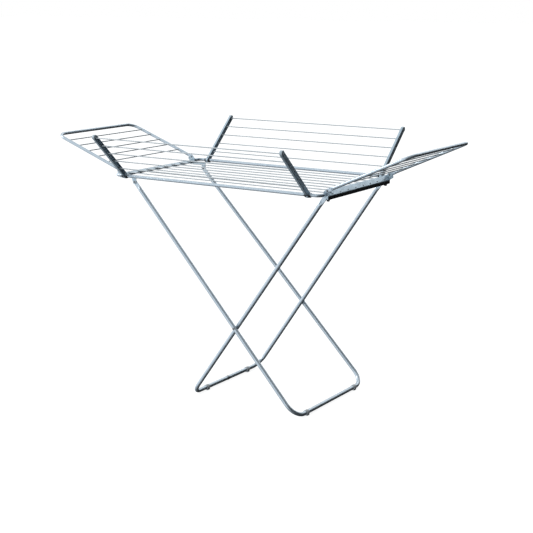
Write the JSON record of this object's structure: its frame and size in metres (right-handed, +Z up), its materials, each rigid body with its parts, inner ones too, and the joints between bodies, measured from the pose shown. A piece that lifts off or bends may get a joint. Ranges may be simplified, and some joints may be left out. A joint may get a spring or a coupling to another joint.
{
  "type": "folding clothes drying rack",
  "caption": "Free-standing folding clothes airer: rod deck on crossed tube legs, raised flaps on both long sides and a hinged wing at each end",
  "frame": {"origin": "on the floor under the middle of the rod deck, centred between the two wings and the two flaps", "axes": "+Z up, +X along the deck rods towards the end where the inner legs prop the deck, +Y towards the rear flap; units in metres"},
  "size_m": [1.803, 1.014, 1.1545],
  "materials": {
    "tube_paint": "semi-gloss silver-blue powder paint on round steel tube",
    "sheet_paint": "semi-gloss silver-blue powder paint on pressed sheet steel",
    "rod_coating": "thin glossy pale coating on drawn wire",
    "cap_plastic": "satin moulded plastic",
    "clip_plastic": "satin moulded plastic with light scuffs",
    "rivet_steel": "dull plated rivet steel",
    "spring_wire": "satin black oxide on spring wire",
    "bracket_steel": "semi-gloss dark grey paint on sheet steel"
  },
  "bodies": {
    "outer_legs": {"outer_leg_tube": "tube_paint", "outer_foot_clips": "clip_plastic", "crossing_rivets": "rivet_steel", "crossing_spacers": "clip_plastic"},
    "inner_legs": {"inner_leg_tube": "tube_paint", "inner_foot_clips": "clip_plastic", "crossbar_sleeve": "rivet_steel", "leg_top_rivets": "rivet_steel"},
    "deck": {"front_rail": "tube_paint", "rear_rail": "tube_paint", "left_end_channel": "sheet_paint", "right_end_channel": "sheet_paint", "deck_rod_1": "rod_coating", "deck_rod_2": "rod_coating", "deck_rod_3": "rod_coating", "deck_rod_4": "rod_coating", "deck_rod_5": "rod_coating", "deck_rod_6": "rod_coating", "deck_rod_7": "rod_coating", "deck_rod_8": "rod_coating", "leg_pivot_brackets": "sheet_paint", "deck_pivot_rivets": "rivet_steel", "left_wing_brackets": "sheet_paint", "right_wing_brackets": "sheet_paint", "left_wing_rivets": "rivet_steel", "right_wing_rivets": "rivet_steel", "left_wing_stop_pins": "rivet_steel", "right_wing_stop_pins": "rivet_steel", "front_flap_stops": "spring_wire", "rear_flap_stops": "spring_wire", "leg_top_catches": "bracket_steel"},
    "front_flap": {"front_left_arm": "sheet_paint", "front_right_arm": "sheet_paint", "front_arm_caps": "cap_plastic", "front_flap_rod_1": "rod_coating", "front_flap_rod_2": "rod_coating", "front_flap_rod_3": "rod_coating", "front_flap_rod_4": "rod_coating", "front_flap_rod_5": "rod_coating"},
    "rear_flap": {"rear_left_arm": "sheet_paint", "rear_right_arm": "sheet_paint", "rear_arm_caps": "cap_plastic", "rear_flap_rod_1": "rod_coating", "rear_flap_rod_2": "rod_coating", "rear_flap_rod_3": "rod_coating", "rear_flap_rod_4": "rod_coating", "rear_flap_rod_5": "rod_coating"},
    "left_wing": {"left_wing_tube": "tube_paint", "left_wing_rod_1": "rod_coating", "left_wing_rod_2": "rod_coating", "left_wing_rod_3": "rod_coating", "left_wing_rod_4": "rod_coating", "left_wing_rod_5": "rod_coating"},
    "right_wing": {"right_wing_tube": "tube_paint", "right_wing_rod_1": "rod_coating", "right_wing_rod_2": "rod_coating", "right_wing_rod_3": "rod_coating", "right_wing_rod_4": "rod_coating", "right_wing_rod_5": "rod_coating"}
  },
  "joints": [
    {"name": "leg_fold", "type": "hinge", "parent": "outer_legs", "child": "inner_legs", "pos_m": [0.08798, 0, 0.34683], "axis": [0, -1, 0], "range_deg": [0, 78.2]},
    {"name": "deck_fold", "type": "hinge", "parent": "outer_legs", "child": "deck", "pos_m": [-0.456, 0, 0.925], "axis": [0, 1, 0], "range_deg": [0, 46.7]},
    {"name": "front_flap_swing", "type": "hinge", "parent": "deck", "child": "front_flap", "pos_m": [0, -0.304, 0.958], "axis": [-1, 0, 0], "range_deg": [0, 126]},
    {"name": "rear_flap_swing", "type": "hinge", "parent": "deck", "child": "rear_flap", "pos_m": [0, 0.304, 0.958], "axis": [1, 0, 0], "range_deg": [0, 126]},
    {"name": "left_wing_swing", "type": "hinge", "parent": "deck", "child": "left_wing", "pos_m": [-0.53, 0, 0.9745], "axis": [0, 1, 0], "range_deg": [0, 134]},
    {"name": "right_wing_swing", "type": "hinge", "parent": "deck", "child": "right_wing", "pos_m": [0.53, 0, 0.9745], "axis": [0, -1, 0], "range_deg": [0, 130]}
  ],
  "couplings": [
    {"joint": "deck_fold", "follows": "leg_fold", "ratio": 0.597}
  ]
}
